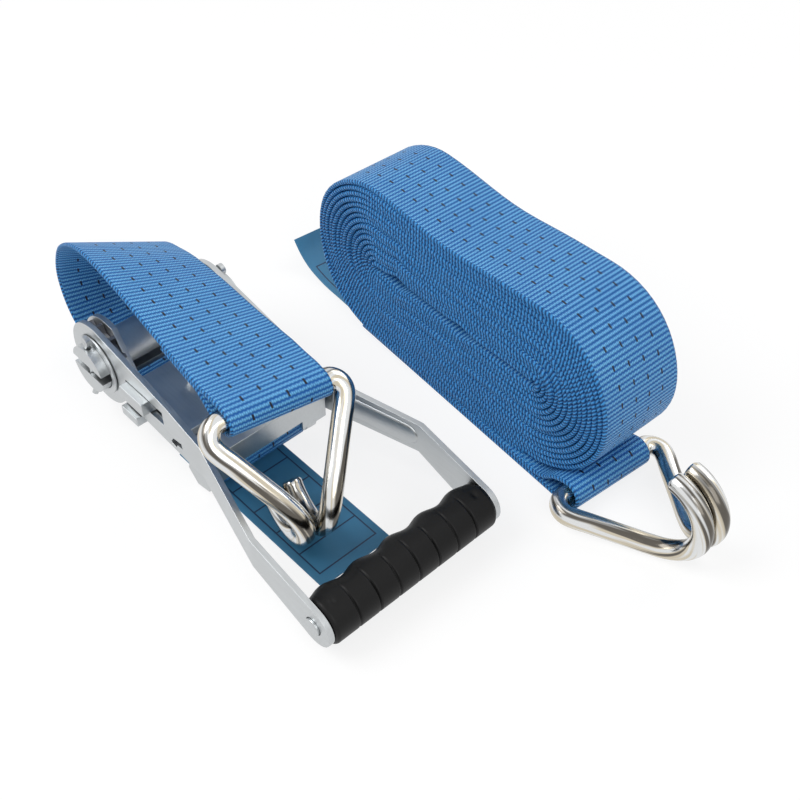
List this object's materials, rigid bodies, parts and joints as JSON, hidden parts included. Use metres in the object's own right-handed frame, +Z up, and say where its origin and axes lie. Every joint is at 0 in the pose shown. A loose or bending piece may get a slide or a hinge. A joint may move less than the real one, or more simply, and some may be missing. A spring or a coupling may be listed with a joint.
{
  "type": "ratchet tie down",
  "caption": "Closed steel ratchet with a flared handle, black grip and short hooked strap, beside a rolled long webbing strap with a hook; tightens and holds a load.",
  "frame": {"origin": "centre of the underside of the whole set's box, on the floor", "axes": "+X from the mandrel to the grip, the length of the set; +Y from the left arm to the right arm and on to the roll; +Z up"},
  "size_m": [0.3298, 0.2096, 0.1036],
  "materials": {
    "frame_plate_left": "zinc plated",
    "frame_plate_right": "zinc plated",
    "frame_base": "zinc plated",
    "strap_bolt": "zinc plated",
    "bolt_nut": "zinc plated",
    "bolt_sleeve": "dark hardened steel",
    "lock_pawl_spring": "spring wire",
    "short_strap_anchor": "woven polyester webbing",
    "short_strap_bend": "woven polyester webbing",
    "label_short": "coated label fabric",
    "handle_arm_left": "zinc plated",
    "handle_arm_right": "zinc plated",
    "grip": "moulded plastic",
    "grip_tie_bar": "zinc plated",
    "spring_stop_bar": "zinc plated",
    "drive_pawl_spring": "spring wire",
    "mandrel_half_upper": "zinc plated",
    "mandrel_half_lower": "zinc plated",
    "ratchet_wheel_left": "dark hardened steel",
    "ratchet_wheel_right": "dark hardened steel",
    "mandrel_washer_left": "zinc plated",
    "mandrel_washer_right": "zinc plated",
    "cotter_pin_left": "zinc plated",
    "cotter_pin_right": "zinc plated",
    "lock_pawl": "zinc plated",
    "drive_pawl": "zinc plated",
    "short_strap_upper": "woven polyester webbing",
    "hook_short": "bright zinc plated rod",
    "long_strap_roll": "woven polyester webbing",
    "long_strap_tail": "woven polyester webbing",
    "label_long": "coated label fabric",
    "hook_long": "bright zinc plated rod"
  },
  "bodies": {
    "frame": {"frame_plate_left": "frame_plate_left", "frame_plate_right": "frame_plate_right", "frame_base": "frame_base", "strap_bolt": "strap_bolt", "bolt_nut": "bolt_nut", "bolt_sleeve": "bolt_sleeve", "lock_pawl_spring": "lock_pawl_spring", "short_strap_anchor": "short_strap_anchor", "short_strap_bend": "short_strap_bend", "label_short": "label_short"},
    "handle": {"handle_arm_left": "handle_arm_left", "handle_arm_right": "handle_arm_right", "grip": "grip", "grip_tie_bar": "grip_tie_bar", "spring_stop_bar": "spring_stop_bar", "drive_pawl_spring": "drive_pawl_spring"},
    "mandrel": {"mandrel_half_upper": "mandrel_half_upper", "mandrel_half_lower": "mandrel_half_lower", "ratchet_wheel_left": "ratchet_wheel_left", "ratchet_wheel_right": "ratchet_wheel_right", "mandrel_washer_left": "mandrel_washer_left", "mandrel_washer_right": "mandrel_washer_right", "cotter_pin_left": "cotter_pin_left", "cotter_pin_right": "cotter_pin_right"},
    "lock_pawl": {"lock_pawl": "lock_pawl"},
    "drive_pawl": {"drive_pawl": "drive_pawl"},
    "short_strap": {"short_strap_upper": "short_strap_upper"},
    "hook_short": {"hook_short": "hook_short"},
    "long_strap": {"long_strap_roll": "long_strap_roll", "long_strap_tail": "long_strap_tail", "label_long": "label_long"},
    "hook_long": {"hook_long": "hook_long"}
  },
  "joints": [
    {"name": "handle_swing", "type": "hinge", "parent": "frame", "child": "handle", "pos_m": [-0.11255, -0.05125, 0.03489], "axis": [0, -1, 0], "range_deg": [0, 100]},
    {"name": "mandrel_spin", "type": "hinge", "parent": "frame", "child": "mandrel", "pos_m": [-0.11255, -0.05125, 0.03489], "axis": [0, 1, 0], "continuous": true},
    {"name": "lock_pawl_slide", "type": "slide", "parent": "frame", "child": "lock_pawl", "axis": [1, 0, 0], "range_m": [0, 0.007], "stiffness_N_per_m": 700, "springref_m": -0.008, "deforming": ["lock_pawl_spring"]},
    {"name": "drive_pawl_slide", "type": "slide", "parent": "handle", "child": "drive_pawl", "axis": [1, 0, 0], "range_m": [0, 0.008], "stiffness_N_per_m": 700, "springref_m": -0.01, "deforming": ["drive_pawl_spring"]},
    {"name": "strap_fold", "type": "hinge", "parent": "frame", "child": "short_strap", "pos_m": [-0.11255, -0.05125, 0.03489], "axis": [0, -1, 0], "range_deg": [0, 100], "deforming": ["short_strap_bend"]},
    {"name": "hook_short_swing", "type": "hinge", "parent": "short_strap", "child": "hook_short", "pos_m": [0.00046, -0.06325, 0.07489], "axis": [-0.1959, -0.9806, 0], "range_deg": [0, 90]},
    {"name": "strap_roll_lift", "type": "slide", "parent": "frame", "child": "long_strap", "axis": [0, 0, 1], "range_m": [0, 0.15]},
    {"name": "hook_long_swing", "type": "hinge", "parent": "long_strap", "child": "hook_long", "pos_m": [0.09445, 0.06275, 0.00829], "axis": [-0.0872, -0.9962, 0], "range_deg": [0, 22]}
  ],
  "couplings": [
    {"joint": "strap_fold", "follows": "handle_swing", "ratio": 1}
  ]
}
